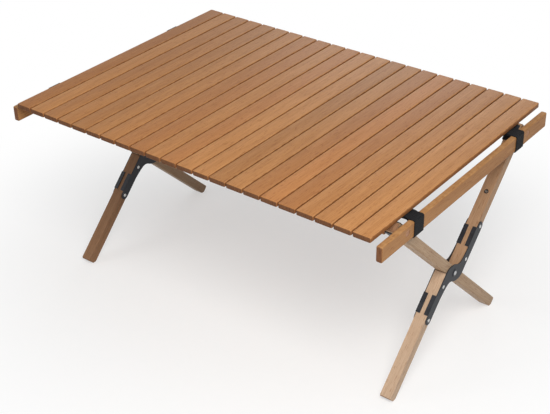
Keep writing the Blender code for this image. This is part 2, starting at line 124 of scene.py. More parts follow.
# %% A socket that can stand in a sum
class Signal:
    def __init__(self, recipe, socket):
        self.recipe = recipe
        self.socket = socket

    def join(self, operation, other):
        return self.recipe.node("ShaderNodeMath", {"operation": operation}, {0: self, 1: other})

    def __add__(self, other):
        return self.join("ADD", other)

    def __sub__(self, other):
        return self.join("SUBTRACT", other)

    def __mul__(self, other):
        return self.join("MULTIPLY", other)

    def __truediv__(self, other):
        return self.join("DIVIDE", other)

    def one(self, operation):
        """The result of a Math node that takes one value, such as FLOOR."""
        return self.recipe.node("ShaderNodeMath", {"operation": operation}, {0: self})

    def ramp(self, low, high):
        """A soft step: 0 below low, 1 above high."""
        settings = {"interpolation_type": "SMOOTHSTEP"}
        return self.recipe.node("ShaderNodeMapRange", settings, {0: self, 1: low, 2: high})


print("signals ready")

# %% A material and the nodes in it
# The Mix node has several sockets of the same name, so its colour sockets go by number.
MIX_SHARE = 0
MIX_FIRST = 6
MIX_SECOND = 7
MIX_RESULT = 2


class Recipe:
    def __init__(self, name):
        self.material = bpy.data.materials.new(name)
        self.material.use_nodes = True
        self.tree = self.material.node_tree
        self.shader = self.tree.nodes["Principled BSDF"]

    def node(self, kind, settings=None, inputs=None, output=0):
        made = self.tree.nodes.new(kind)
        for name, value in (settings or {}).items():
            setattr(made, name, value)
        for place, value in (inputs or {}).items():
            self.feed(made.inputs[place], value)
        return Signal(self, made.outputs[output])

    def feed(self, socket, value):
        if isinstance(value, Signal):
            self.tree.links.new(value.socket, socket)
        else:
            socket.default_value = value

    def colour(self, first, second, share, blend="MIX"):
        """Mixes two colours, each a colour or a Signal."""
        settings = {"data_type": "RGBA", "blend_type": blend}
        pair = [c if isinstance(c, Signal) else (*c, 1.0) for c in (first, second)]
        inputs = {MIX_SHARE: share, MIX_FIRST: pair[0], MIX_SECOND: pair[1]}
        return self.node("ShaderNodeMix", settings, inputs, MIX_RESULT)

    def dot(self, place, way):
        return self.node("ShaderNodeVectorMath", {"operation": "DOT_PRODUCT"}, {0: place, 1: way}, "Value")

    def point(self, x, y, z):
        return self.node("ShaderNodeCombineXYZ", None, {0: x, 1: y, 2: z})

    def noise(self, place, scale, detail=2.0, rough=0.5, twist=0.0):
        names = {"Vector": place, "Scale": scale, "Detail": detail, "Roughness": rough, "Distortion": twist}
        return self.node("ShaderNodeTexNoise", None, names)

    def chance(self, number):
        """A random value from 0 to 1, always the same for the same number."""
        return self.node("ShaderNodeTexWhiteNoise", {"noise_dimensions": "1D"}, {"W": number})

    def texture_place(self, output="Object"):
        return self.node("ShaderNodeTexCoord", None, None, output)

    def bump(self, height, strength, distance):
        names = {"Strength": strength, "Distance": distance, "Height": height}
        return self.node("ShaderNodeBump", None, names)

    def finish(self, **sockets):
        for name, value in sockets.items():
            self.feed(self.shader.inputs[name.replace("_", " ")], value)
        return self.material


print("shader language ready")

# %% [markdown]
# Oiled beech
#
# The slats, rails and legs are planed beech under thin oil. Up close the wood has layers:
# a slow drift of tone, growth bands drawn out along the board, fine fibres, and the short
# dark flecks that give beech away. The sawn ends are darker, because oil soaks in there,
# and show saw lines. The sides of the slats are painted darker as shade, for the little
# light that gets into the gaps, and the corners are rubbed paler.
# Drift, bands, fibres and flecks are each one stretched noise. Stretching space along the
# grain is how noise becomes wood: a slat is long in Y and a leg runs at a slant, so each
# gets its own way. On top of that every board draws three random numbers, which move its
# pattern and tint it.

# %% Numbers of the wood
# How much of the length counts in each noise: the less, the longer its marks
BAND_STRETCH = 0.055
DRIFT_STRETCH = 0.16
FIBRE_STRETCH = 0.012
FLECK_STRETCH = 0.11
SAW_STRETCH = 0.06
# Tints that darken what they are laid over. The gap one is painted shade on the slats' sides.
FIBRE_TINT = (0.74, 0.67, 0.60)
FLECK_TINT = (0.68, 0.56, 0.48)
GAP_PAINTED_SHADE = (0.50, 0.42, 0.36)
# Factors that turn one of the wood's own colours into another
ROSY = (1.02, 0.92, 0.90)
WORN = (1.18, 1.22, 1.30)
END_PORES = (0.55, 0.48, 0.45)
OIL_SHINE = 0.25
# A piece at the right draws from a number this much higher than its twin at the left
LEFT_TO_RIGHT = 7


def scaled(colour, factors):
    return tuple(part * factor for part, factor in zip(colour, factors))


print("bands count", BAND_STRETCH, "of their length, fibres", FIBRE_STRETCH)


# %% Wood that knows which way its grain runs
def wood(name, way, tones, end_tone, seed, boards=None, rub=None):
    """Beech whose grain runs along way. tones are its pale, middle and deep colours.

    boards numbers the board that a point is on, and brings in the painted shade on its sides. rub says where
    the corners are worn.
    """
    r = Recipe(name)
    place = r.texture_place()
    side = way.cross(X_AXIS) if abs(way.x) < 0.5 else Y_AXIS
    along = r.dot(place, way)
    across = r.dot(place, way.cross(side))
    depth = r.dot(place, side)
    if boards:
        number = boards(r, place)
    else:
        number = r.dot(place, X_AXIS).ramp(-0.01, 0.01) * LEFT_TO_RIGHT + seed
    luck = r.chance(number + seed)
    luck_two = r.chance(number * 1.7 + seed + 3.3)
    luck_three = r.chance(number * 2.3 + seed + 8.1)

    band_place = r.point(across + luck * 3.0, along * BAND_STRETCH + luck_two * 2.0, depth + luck_three)
    bands = r.noise(band_place, scale=95.0, detail=3.0, rough=0.55, twist=0.9)
    drift_place = r.point(across + luck_two, along * DRIFT_STRETCH, depth + luck)
    drift = r.noise(drift_place, scale=22.0, detail=1.0)
    fibre_place = r.point(across + luck, along * FIBRE_STRETCH, depth)
    fibre = r.noise(fibre_place, scale=1500.0, rough=0.6)
    fleck_place = r.point(across + luck_three, along * FLECK_STRETCH, depth + luck_two)
    fleck = r.noise(fleck_place, scale=640.0, detail=1.0, rough=0.4).ramp(0.61, 0.72)

    pale, mid, deep = tones
    tone = r.colour(pale, mid, bands.ramp(0.25, 0.75))
    tone = r.colour(tone, deep, (drift * 0.6 + luck * 0.4).ramp(0.45, 0.8) * 0.4)
    tone = r.colour(tone, scaled(mid, ROSY), luck_two.ramp(0.45, 0.95) * 0.6)
    tone = r.colour(tone, FIBRE_TINT, fibre.ramp(0.35, 0.75), "MULTIPLY")
    tone = r.colour(tone, FLECK_TINT, fleck * 0.75, "MULTIPLY")
    light = luck_three * 0.24 + 0.90
    tone = r.colour(tone, r.point(light, light, light), 1.0, "MULTIPLY")

    normal = r.texture_place("Normal")
    end = r.dot(normal, way).one("ABSOLUTE").ramp(0.55, 0.8)
    saw = r.noise(r.point(across, along, depth * SAW_STRETCH), scale=900.0, rough=0.6)
    pores = r.noise(place, scale=1300.0, rough=0.6)
    in_pores = (saw * 0.6 + pores * 0.4).ramp(0.38, 0.66)
    tone = r.colour(tone, r.colour(end_tone, scaled(end_tone, END_PORES), in_pores), end)
    if boards:
        # Painted shade: the slats' long sides are darkened, as little light gets into the gaps.
        slat_side_shade = r.dot(normal, X_AXIS).one("ABSOLUTE").ramp(0.6, 0.9)
        tone = r.colour(tone, GAP_PAINTED_SHADE, slat_side_shade * 0.9, "MULTIPLY")
    if rub:
        patches = r.noise(place, scale=90.0, detail=3.0, rough=0.6).ramp(0.30, 0.75)
        tone = r.colour(tone, scaled(pale, WORN), rub(r, place) * patches * 0.6)
    height = fibre * 0.5 + bands * 0.35 - fleck * 0.5 + saw * end * 0.8
    return r.finish(
        Base_Color=tone,
        Roughness=fibre * 0.14 + 0.47 + end * 0.2,
        Specular_IOR_Level=OIL_SHINE,
        Normal=r.bump(height, strength=0.28, distance=0.0006),
    )


print("wood ready")

# %% [markdown]
# Slat, rail and leg tones
#
# One material serves all 22 slats. It works out which slat a point is on from its X place,
# and draws that slat's own tone, grain and flecks from its number. The rubbed corners are a
# narrow band at both long edges.
# The other pieces get woods of their own, from the photo: the rails are a little deeper
# than the slats, the right frame's lower half leg is the palest, its upper half is more
# tanned, the whole legs are greyer, and the left half legs are painted dark brown as shade,
# for the frame that stands under the table.

# %% The slat, rail, leg and stretcher woods
RUB_START = 0.0022
RUB_FULL = 0.0006
RUB_DEPTH = 0.004
RAIL_RUB_START = 0.003
RAIL_RUB_FULL = 0.0005


def slat_place(r, place):
    """A point's X place counted in slats: 0 to 1 on the first, 1 to 2 on the next."""
    return r.dot(place, X_AXIS) / PITCH + SLATS / 2


def slat_number(r, place):
    return slat_place(r, place).one("FLOOR")


def slat_rub(r, place):
    from_middle = (slat_place(r, place).one("FRACT") - 0.5).one("ABSOLUTE") * PITCH
    edge = from_middle.ramp(SLAT_WIDTH / 2 - RUB_START, SLAT_WIDTH / 2 - RUB_FULL)
    return edge * r.dot(place, Z_AXIS).ramp(SLAT_TOP - RUB_DEPTH, SLAT_TOP)


def rail_rub(r, place):
    return r.dot(place, Z_AXIS).ramp(rail_high.z - RAIL_RUB_START, rail_high.z - RAIL_RUB_FULL)


HONEY = ((0.485, 0.230, 0.083), (0.405, 0.182, 0.060), (0.300, 0.122, 0.037))
RAIL = ((0.415, 0.215, 0.080), (0.335, 0.160, 0.054), (0.250, 0.112, 0.035))
PALE = ((0.505, 0.390, 0.280), (0.440, 0.330, 0.230), (0.350, 0.250, 0.165))
PAINTED_SHADE_BROWN = ((0.240, 0.135, 0.070), (0.200, 0.104, 0.050), (0.145, 0.070, 0.031))
TANNED = ((0.460, 0.298, 0.180), (0.385, 0.245, 0.142), (0.300, 0.175, 0.095))
GREYED = ((0.400, 0.280, 0.180), (0.340, 0.228, 0.140), (0.270, 0.165, 0.095))
slat_wood = wood("oiled_beech_slats", Y_AXIS, HONEY, (0.150, 0.062, 0.024), 0.0, slat_number, slat_rub)
rail_wood = wood("oiled_beech_rails", Y_AXIS, RAIL, (0.190, 0.078, 0.032), 11.0, rub=rail_rub)
leg_a_wood = wood("beech_leg_a", ALONG_A, GREYED, (0.280, 0.150, 0.080), 23.0)
leg_b_wood = wood("beech_leg_b", ALONG_B, PALE, (0.280, 0.150, 0.080), 31.0)
upper_wood = wood("beech_leg_b_upper", ALONG_B, TANNED, (0.260, 0.120, 0.050), 37.0)
# Painted shade: the left frame's half legs get darker beech, as they stand in the table's shade.
left_leg_painted_shade_wood = wood("beech_left_leg", ALONG_B, PAINTED_SHADE_BROWN, (0.200, 0.090, 0.040), 43.0)
stretcher_wood = wood("beech_stretchers", X_AXIS, RAIL, (0.220, 0.100, 0.045), 41.0)
plug_wood = wood("beech_plugs", X_AXIS, RAIL, (0.440, 0.240, 0.140), 47.0)
print("woods", [m.name for m in bpy.data.materials if "beech" in m.name])

# %% [markdown]
# Steel
#
# The joint plates and leg caps are pressed steel under black powder coat. Powder melts into
# a skin with a faint orange peel, a little blue, and here and there it is scuffed grey. The
# rivets and bolts are zinc plated: pale, with cloudy patches in their gloss and some grime.


# %% Powder coat and zinc
def powder_coat(name):
    r = Recipe(name)
    place = r.texture_place()
    peel = r.noise(place, scale=900.0)
    cloud = r.noise(place, scale=60.0, detail=3.0, rough=0.6)
    scuff_place = r.point(r.dot(place, X_AXIS) * 0.4, r.dot(place, ALONG_B), r.dot(place, ACROSS_B))
    scuff = r.noise(scuff_place, scale=330.0, detail=4.0, rough=0.7).ramp(0.60, 0.72) * 0.5
    tone = r.colour((0.012, 0.0135, 0.018), (0.019, 0.021, 0.027), cloud.ramp(0.35, 0.65))
    tone = r.colour(tone, (0.075, 0.08, 0.088), scuff)
    return r.finish(
        Base_Color=tone,
        Roughness=cloud * 0.12 + 0.42 + scuff * 0.2,
        Metallic=0.15,
        Specular_IOR_Level=0.35,
        Normal=r.bump(peel, strength=0.22, distance=0.0003),
    )


def zinc(name):
    r = Recipe(name)
    place = r.texture_place()
    cloud = r.noise(place, scale=260.0, detail=3.0, rough=0.6)
    grime = r.noise(place, scale=900.0, rough=0.6).ramp(0.58, 0.74)
    tone = r.colour((0.62, 0.62, 0.60), (0.42, 0.43, 0.44), cloud.ramp(0.35, 0.7))
    tone = r.colour(tone, (0.16, 0.14, 0.12), grime * 0.5)
    return r.finish(
        Base_Color=tone,
        Roughness=cloud * 0.25 + 0.22 + grime * 0.2,
        Metallic=0.9,
        Normal=r.bump(cloud, strength=0.12, distance=0.0003),
    )


black_steel = powder_coat("black_powder_coat")
bright_steel = zinc("zinc_plate")
print("steels", black_steel.name, bright_steel.name)

# %% [markdown]
# Webbing
#
# The straps are woven: fat warp yarns run along the strap, and weft yarns cross over and
# under them in turn, so that neighbouring yarns always do the opposite. The pattern is
# drawn in the strap's own lengths, stored as a UV map in metres, so that it stays put when
# the table rolls up. Two waves make the ribs. The one along the strap is shifted by half a
# wave on every other yarn.

# %% Webbing and thread finishes
YARN = 0.0011
PICK = 0.0016


def woven(name):
    r = Recipe(name)
    flat = r.texture_place("UV")
    run = r.dot(flat, X_AXIS)
    wide = r.dot(flat, Y_AXIS)
    yarn = wide / YARN
    rib = (yarn * math.tau).one("COSINE") * -0.5 + 0.5
    shift = (yarn.one("FLOOR") / 2).one("FRACT").one("ROUND") * math.pi
    over = ((run / PICK) * math.pi + shift).one("SINE") * 0.5 + 0.5
    place = r.point(run, wide, 0.0)
    fuzz = r.noise(place, scale=1900.0, rough=0.7)
    dust = r.noise(place, scale=70.0, detail=3.0, rough=0.6)
    height = rib * 0.5 + over * 0.6 + fuzz * 0.25
    # Painted shade: the hollows between the yarns are darker and their crowns lighter, following the weave's
    # height.
    tone = r.colour((0.0035, 0.0035, 0.0045), (0.011, 0.011, 0.013), (rib * over).ramp(0.1, 0.9))
    tone = r.colour(tone, (0.030, 0.028, 0.026), dust.ramp(0.55, 0.8) * 0.3)
    return r.finish(
        Base_Color=tone,
        Roughness=fuzz * 0.15 + 0.68,
        Specular_IOR_Level=0.2,
        Normal=r.bump(height, strength=0.6, distance=0.0005),
    )


def sewing_thread(name):
    r = Recipe(name)
    fuzz = r.noise(r.texture_place(), scale=2600.0, rough=0.6)
    tone = r.colour((0.012, 0.012, 0.013), (0.05, 0.05, 0.052), fuzz)
    return r.finish(Base_Color=tone, Roughness=fuzz * 0.2 + 0.5)


webbing = woven("black_webbing")
thread = sewing_thread("black_thread")
print("webbing yarn", YARN, "pick", PICK)

# %% [markdown]
# Helpers for shapes
#
# A piece starts as a bmesh in its true place in the frame, and one function turns it into
# an object. Nearly every shape here is a row of rings joined by faces: round pins are rings
# on an axis, wires are rings along a path, and a board is its outline at several heights.


# %% Shape helpers
def new_piece(name, shape, materials, angle):
    """Makes an object. Edges that turn by more than angle, in degrees, stay crisp."""
    bmesh.ops.recalc_face_normals(shape, faces=shape.faces)
    mesh = bpy.data.meshes.new(name)
    shape.to_mesh(mesh)
    shape.free()
    for material in materials:
        mesh.materials.append(material)
    mesh.shade_smooth()
    mesh.set_sharp_from_angle(angle=math.radians(angle))
    piece = bpy.data.objects.new(name, mesh)
    bpy.context.scene.collection.objects.link(piece)
    return piece


def count_of(word):
    """How many objects have this word in their names."""
    return sum(word in thing.name for thing in bpy.data.objects)


def circle(shape, centre, first, second, radius, sides):
    """A ring of points round centre, in the plane of the two ways first and second."""
    turns = [math.tau * k / sides for k in range(sides)]
    return [shape.verts.new(centre + (first * math.cos(t) + second * math.sin(t)) * radius) for t in turns]


def bridge(shape, lower, upper, index=0):
    """Joins two rings with faces. A ring of a single point closes the end."""
    sides = max(len(lower), len(upper))
    for k in range(sides):
        after = (k + 1) % sides
        if len(lower) == 1:
            corners = (lower[0], upper[k], upper[after])
        elif len(upper) == 1:
            corners = (lower[k], lower[after], upper[0])
        else:
            corners = (lower[k], lower[after], upper[after], upper[k])
        shape.faces.new(corners).material_index = index


def turned(shape, profile, origin, axis, side, sides, index=0, closed=False):
    """Adds a round solid from (distance along axis, radius) points. Radius 0 closes an end.

    With closed, the last point joins the first, which makes a ring with an open bore.
    """
    third = axis.cross(side)
    rings = []
    for distance, radius in profile:
        centre = origin + axis * distance
        if radius == 0:
            rings.append([shape.verts.new(centre)])
        else:
            rings.append(circle(shape, centre, side, third, radius, sides))
    following = rings[1:] + rings[:1] if closed else rings[1:]
    for lower, upper in zip(rings, following):
        bridge(shape, lower, upper, index)


def bent_wire(shape, path, radius, index, sides):
    """A round wire along a path, closed at both ends."""
    rings = []
    for number, point in enumerate(path):
        before = path[max(number - 1, 0)]
        after = path[min(number + 1, len(path) - 1)]
        way = (after - before).normalized()
        first = Y_AXIS if abs(way.y) < 0.9 else X_AXIS
        first = (first - way * first.dot(way)).normalized()
        rings.append(circle(shape, point, first, way.cross(first), radius, sides))
    for lower, upper in zip(rings, rings[1:]):
        bridge(shape, lower, upper, index)
    for ring in (rings[0], rings[-1]):
        shape.faces.new(ring).material_index = index


def add_edge(piece, width, segments):
    """Rounds the sharp edges. The flat faces are merged first, so that the bevel runs clean."""
    flat = piece.modifiers.new("flat", "DECIMATE")
    flat.decimate_type = "DISSOLVE"
    flat.angle_limit = math.radians(1)
    edge = piece.modifiers.new("edge", "BEVEL")
    edge.width = width
    edge.segments = segments
    edge.limit_method = "ANGLE"
    edge.angle_limit = math.radians(50)


print("shape helpers ready")

# %% [markdown]
# The slats
#
# A slat is a planed board with rounded corners at its ends and eased edges all round. It
# could be a scaled cube with a bevel, but then every corner gets the same radius. So the
# plan outline is drawn first, with a larger radius at the four corners, and its top and
# bottom edges are rolled over in three small steps.
# Two pairs of staples hold each slat to the webbing underneath. They are bent wire, so each
# is a short round bar with two legs, part of the slat's own mesh.

# %% Slat boards
CORNER = 0.003
CORNER_LEAST = 0.0004
CORNER_STEPS = 4
# The eased edge: depth from the face, and how far the outline is drawn in there
EASE = ((0.0, 0.0016), (0.0003, 0.0008), (0.0009, 0.00025), (0.0018, 0.0))
STAPLE_HALF = 0.0055
STAPLE_WIRE = 0.0005
STAPLE_DEEP = 0.006
STAPLE_BEND = 0.0008
# How far under the strap the wire's middle lies, as a share of the wire's radius
STAPLE_PROUD = 0.6
STAPLE_SHIFT = 0.0085


def board_outline(inset):
    half_x = SLAT_WIDTH / 2 - inset
    half_y = SLAT_LENGTH / 2 - inset
    radius = max(CORNER - inset, CORNER_LEAST)
    points = []
    for sx, sy, start in ((1, 1, 0), (-1, 1, 90), (-1, -1, 180), (1, -1, 270)):
        for step in range(CORNER_STEPS + 1):
            turn = math.radians(start + 90 * step / CORNER_STEPS)
            x = sx * (half_x - radius) + radius * math.cos(turn)
            y = sy * (half_y - radius) + radius * math.sin(turn)
            points.append((x, y))
    return points


def board(centre_x):
    shape = bmesh.new()
    levels = [(SLAT_UNDER + depth, inset) for depth, inset in EASE]
    levels += [(SLAT_TOP - depth, inset) for depth, inset in reversed(EASE)]
    rings = []
    for z, inset in levels:
        rings.append([shape.verts.new((centre_x + x, y, z)) for x, y in board_outline(inset)])
    for lower, upper in zip(rings, rings[1:]):
        bridge(shape, lower, upper)
    shape.faces.new(rings[0][::-1])
    shape.faces.new(rings[-1])
    return shape


def staple(shape, middle, index):
    straight = STAPLE_HALF - STAPLE_BEND
    bends = (
        (-STAPLE_HALF, STAPLE_DEEP),
        (-STAPLE_HALF, STAPLE_BEND),
        (-straight, 0),
        (straight, 0),
        (STAPLE_HALF, STAPLE_BEND),
        (STAPLE_HALF, STAPLE_DEEP),
    )
    bent_wire(shape, [middle + Vector((x, 0, z)) for x, z in bends], STAPLE_WIRE, index, sides=8)


strap_middles = [middle_of("strap_near").y, middle_of("strap_far").y]
staple_z = SLAT_UNDER - STRAP_GAP - STRAP_THICK - STAPLE_WIRE * STAPLE_PROUD
for number in range(SLATS):
    node = f"slat_{number + 1:02d}"
    centre_x = middle_of(node).x
    shape = board(centre_x)
    for strap_y in strap_middles:
        for shift in (-STAPLE_SHIFT, STAPLE_SHIFT):
            staple(shape, Vector((centre_x, strap_y + shift, staple_z)), 1)
    piece = new_piece(f"{node}_board", shape, [slat_wood, bright_steel], 30)
    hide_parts(node)
    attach(piece, node)
print("slat boards", count_of("_board"))

# %% [markdown]
# Rails, legs, stretchers, plates and caps
#
# These keep the frame's meshes, whose holes and slants already fit. Real timber and pressed
# plate never have razor edges, so legs, plates and caps get a small bevel as a modifier,
# which leaves the frame's own mesh alone. The rails and stretchers have their rounded edges
# in the frame.

# %% Finishes for the kept parts
LEG_EDGE = (0.002, 4)
UPPER_LEG_EDGE = (0.0016, 4)
PLATE_EDGE = (0.00035, 2)
CAP_EDGE = (0.0003, 2)
dressed = [("stretcher_near", stretcher_wood, None), ("stretcher_far", stretcher_wood, None)]
for label, side in SIDES:
    # The left half legs take the beech that is painted darker as shade.
    upper, lower = (upper_wood, leg_b_wood) if side > 0 else (left_leg_painted_shade_wood, left_leg_painted_shade_wood)
    dressed += [
        (f"rail_{label}", rail_wood, None),
        (f"leg_a_{label}", leg_a_wood, LEG_EDGE),
        (f"leg_b_upper_{label}", upper, UPPER_LEG_EDGE),
        (f"leg_b_lower_{label}", lower, LEG_EDGE),
    ]
    for place in ("outer", "inner"):
        dressed.append((f"joint_plate_{place}_{label}", black_steel, PLATE_EDGE))
    for place in ("near", "far"):
        dressed.append((f"leg_cap_{label}_{place}", black_steel, CAP_EDGE))
        dressed.append((f"rail_bolt_{label}_{place}", bright_steel, None))
for name, material, edge in dressed:
    part = nodes[name]
    part.data.materials.clear()
    part.data.materials.append(material)
    if edge:
        add_edge(part, *edge)
print("kept parts dressed", len(dressed))

# %% [markdown]
# Wood plugs
#
# The rail bolts are sunk and hidden under short dowels, glued in and sanded almost flush.
# Their grain runs into the rail, so what shows is end grain, a little pinker than the rail.

# %% Plugs over the rail bolts
PLUG_RADIUS = 0.0062
PLUG_LONG = 0.0036
# The plug's eased rim: depth under its face, and how far in from its side
PLUG_RIM = ((0.0005, 0.0), (0.0002, 0.0003), (0.0001, 0.0012))
PLUG_SUNK = 0.00005
plug_profile = [(0, 0), (0, PLUG_RADIUS)]
plug_profile += [(PLUG_LONG - depth, PLUG_RADIUS - inset) for depth, inset in PLUG_RIM]
plug_profile += [(PLUG_LONG - PLUG_SUNK, 0)]
for label, side in SIDES:
    for place in ("near", "far"):
        centre = middle_of(f"rail_bolt_{label}_{place}")
        origin = Vector((side * (rail_high.x - PLUG_LONG), centre.y, centre.z))
        shape = bmesh.new()
        turned(shape, plug_profile, origin, X_AXIS * side, Y_AXIS, sides=40)
        piece = new_piece(f"plug_{label}_{place}", shape, [plug_wood], 50)
        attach(piece, "base")
print("plugs", count_of("plug_"))

# %% [markdown]
# Rivets, pivot bolts and insert nuts
#
# A rivet head is a low dome with a flat seat. The pivot bolt has a wider pressed collar, the
# round boss in the middle of the plate. The insert nut is a dark flanged ring with a bright
# threaded bore and a plain bright stud in it. All are turned profiles, with rounded
# shoulders that catch the light.

# %% Rivets and pivots
HEAD_HEIGHT = 0.0012
DOME_STEPS = 5
RIVET_HEAD = 0.0036
RIVET_PIN = 0.0025
PIVOT_HEAD = 0.0044
PIVOT_PIN = 0.0035
BOSS_RADIUS = 0.0085
# The boss's outer rim: depth under the head's seat, and how far in from its side
BOSS_RIM = ((0.0011, 0.0), (0.0006, 0.0), (0.0002, 0.0008))
BOSS_TOP = 0.0001
BOSS_BASE = 0.0011
BOSS_BORE = PIVOT_HEAD * 0.8


def dome(reach, radius, sign):
    """Points of a low dome, from its rim to its top."""
    points = []
    for step in range(DOME_STEPS):
        turn = math.radians(90 * step / DOME_STEPS)
        points.append((reach + sign * HEAD_HEIGHT * math.sin(turn), radius * math.cos(turn)))
    return points + [(reach + sign * HEAD_HEIGHT, 0)]


def headed_pin(node, radius_head, radius_pin, boss=False):
    low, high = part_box(node)
    middle = (low + high) / 2
    axis = X_AXIS if middle.x > 0 else -X_AXIS
    seat = (high.x - low.x) / 2 - HEAD_HEIGHT
    shape = bmesh.new()
    profile = dome(-seat, radius_head, -1)[::-1]
    profile += [(-seat, radius_pin), (seat, radius_pin)]
    profile += dome(seat, radius_head, 1)
    turned(shape, profile, middle, axis, Y_AXIS, sides=28)
    if boss:
        for way in (1, -1):
            rim = [(way * (seat - depth), BOSS_RADIUS - inset) for depth, inset in BOSS_RIM]
            rim += [(way * (seat - depth), BOSS_BORE) for depth in (BOSS_TOP, BOSS_BASE)]
            turned(shape, rim, middle, axis, Y_AXIS, sides=36, index=1, closed=True)
    piece = new_piece(f"{node}_head", shape, [bright_steel, black_steel], 40)
    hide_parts(node)
    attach(piece, "legs_b")


for label, side in SIDES:
    for part in ("upper", "lower"):
        for place in ("inner", "outer"):
            headed_pin(f"rivet_{part}_{place}_{label}", RIVET_HEAD, RIVET_PIN)
    headed_pin(f"pivot_bolt_{label}", PIVOT_HEAD, PIVOT_PIN, boss=True)
print("rivets and pivots", count_of("_head"))

# %% Insert nuts
NUT_HALF = 0.0043
NUT_SIDE = 0.0038
NUT_BORE = 0.0024
# The flange: height over the nut's lower end, and radius
NUT_FLANGE = ((0.0, 0.0040), (0.0003, 0.0042), (0.0009, 0.0042), (0.0012, NUT_SIDE))
THREAD_TURNS = 7
THREAD_CREST = 0.0021
THREAD_BACK = 0.0027
STUD_HALF = 0.0031
STUD_RADIUS = 0.0017
nut_ring = [(height - NUT_HALF, radius) for height, radius in NUT_FLANGE]
nut_ring += [(NUT_HALF, NUT_SIDE), (NUT_HALF, NUT_BORE)]
nut_thread = [(NUT_HALF, NUT_BORE)]
for k in range(THREAD_TURNS):
    crest = NUT_HALF - (k + 0.5) * 2 * NUT_HALF / THREAD_TURNS
    nut_thread += [(crest, THREAD_CREST), (crest - NUT_HALF / THREAD_TURNS, NUT_BORE)]
nut_thread += [(-NUT_HALF, THREAD_BACK), (NUT_HALF, THREAD_BACK)]
nut_stud = [(-STUD_HALF, 0), (-STUD_HALF, STUD_RADIUS), (STUD_HALF, STUD_RADIUS), (STUD_HALF, 0)]
for label, side in SIDES:
    node = f"insert_nut_{label}"
    middle = middle_of(node)
    shape = bmesh.new()
    turned(shape, nut_ring, middle, ACROSS_B, X_AXIS, sides=32, closed=True)
    turned(shape, nut_thread, middle, ACROSS_B, X_AXIS, sides=24, index=1, closed=True)
    turned(shape, nut_stud, middle, ACROSS_B, X_AXIS, sides=24, index=1)
    piece = new_piece(f"{node}_ring", shape, [black_steel, bright_steel], 30)
    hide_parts(node)
    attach(piece, "legs_b")
print("insert nuts", count_of("_ring"))

# %% [markdown]
# Webbing in lengths
#
# Two straps run under all the slats, over the end rails, round them and back, where the
# tail is sewn down. When the table rolls up, each strap bends at the gaps. A strap is
# therefore built in lengths from the middle of one slat to the middle of the next. Each
# length is made straight, just under the slats, and is not tied to either slat. The two
# ends ride on the outermost slats.

# %% Strap lengths
STRAP_Z = SLAT_UNDER - STRAP_GAP - STRAP_THICK / 2
LENGTH_STEPS = 12
# At a bend the strap's section is stretched by no more than 1 over this
LEAST_MITRE = 0.6
# The top half of the strap's section, as shares of its half width and of its thickness
SECTION = (
    (-1.0, 0.30), (-0.975, 0.46), (-0.90, 0.5), (-0.45, 0.5), (0.0, 0.5),
    (0.45, 0.5), (0.90, 0.5), (0.975, 0.46), (1.0, 0.30),
)
strap_profile = [(wide * STRAP_WIDE / 2, high) for wide, high in SECTION]
strap_profile += [(wide * STRAP_WIDE / 2, -high) for wide, high in reversed(SECTION)]


def strap_solid(shape, path, middle_y, start):
    """A flat band along a path of (x, z) points, with softened selvedges and a UV map in metres."""
    flat = shape.loops.layers.uv.verify()
    rings = []
    places = []
    travelled = start
    for number, (x, z) in enumerate(path):
        here = Vector((x, z))
        before = Vector(path[max(number - 1, 0)])
        after = Vector(path[min(number + 1, len(path) - 1)])
        arriving = (here - before).normalized() if number else (after - here).normalized()
        leaving = (after - here).normalized() if number < len(path) - 1 else arriving
        way = (arriving + leaving).normalized()
        normal = Vector((-way.y, way.x)) / max(way.dot(leaving), LEAST_MITRE)
        travelled += (here - before).length
        places.append(travelled)
        ring = []
        for wide, high in strap_profile:
            lift = normal * high * STRAP_THICK
            ring.append(shape.verts.new((x + lift.x, middle_y + wide, z + lift.y)))
        rings.append(ring)
    count = len(strap_profile)

    def face(corners, spots):
        made = shape.faces.new(corners)
        for loop, spot in zip(made.loops, spots):
            loop[flat].uv = spot

    for number, (lower, upper) in enumerate(zip(rings, rings[1:])):
        begin, end = places[number], places[number + 1]
        for k in range(count):
            after = (k + 1) % count
            one, other = strap_profile[k][0], strap_profile[after][0]
            spots = ((begin, one), (begin, other), (end, other), (end, one))
            face((lower[k], lower[after], upper[after], upper[k]), spots)
    for ring, place in ((rings[0], places[0]), (rings[-1][::-1], places[-1])):
        face(ring, [(place, 0.0)] * count)


for number in range(SLATS - 1):
    first = middle_of(f"slat_{number + 1:02d}").x
    path = [(first + PITCH * k / LENGTH_STEPS, STRAP_Z) for k in range(LENGTH_STEPS + 1)]
    shape = bmesh.new()
    for strap_y in strap_middles:
        strap_solid(shape, path, strap_y, first)
    piece = new_piece(f"webbing_{number + 1:02d}", shape, [webbing], 50)
    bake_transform(piece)
print("strap lengths", count_of("webbing_"))

# %% [markdown]
# Strap ends
#
# Past the last slat the strap runs over the rail, turns down its outer face, under it and
# up again on the inner side, and its tail lies under the strap. Bends are short arcs. Two
# rows of stitches hold the tail.

# %% Rail loops and their stitches
BEND = 0.0026
TAIL = 0.029
TAIL_GAP = 0.0002
# Where the strap leaves the slats' level and reaches the rail's, from the rail's inner face
SLOPE_BEFORE = 0.004
SLOPE_AFTER = 0.003
SLOPE_DIP = 0.0001
# How much closer the strap lies at the rail's outer face and at its inner top edge
OUTER_PRESS = 0.0001
EDGE_PRESS = 0.0003
STITCH_ROWS = (0.012, 0.024)
STITCHES = 7
STITCH_PITCH = 0.0038
STITCH_HALF = 0.0014
STITCH_SAG = 0.00025
STITCH_RADIUS = 0.00035
# Where the weave's length starts to count on the left loop, in metres
LEFT_WEAVE_START = 0.5


def arc_points(cx, cz, start, end, steps=5):
    turns = [math.radians(start + (end - start) * k / steps) for k in range(steps + 1)]
    return [(cx + BEND * math.cos(t), cz + BEND * math.sin(t)) for t in turns]


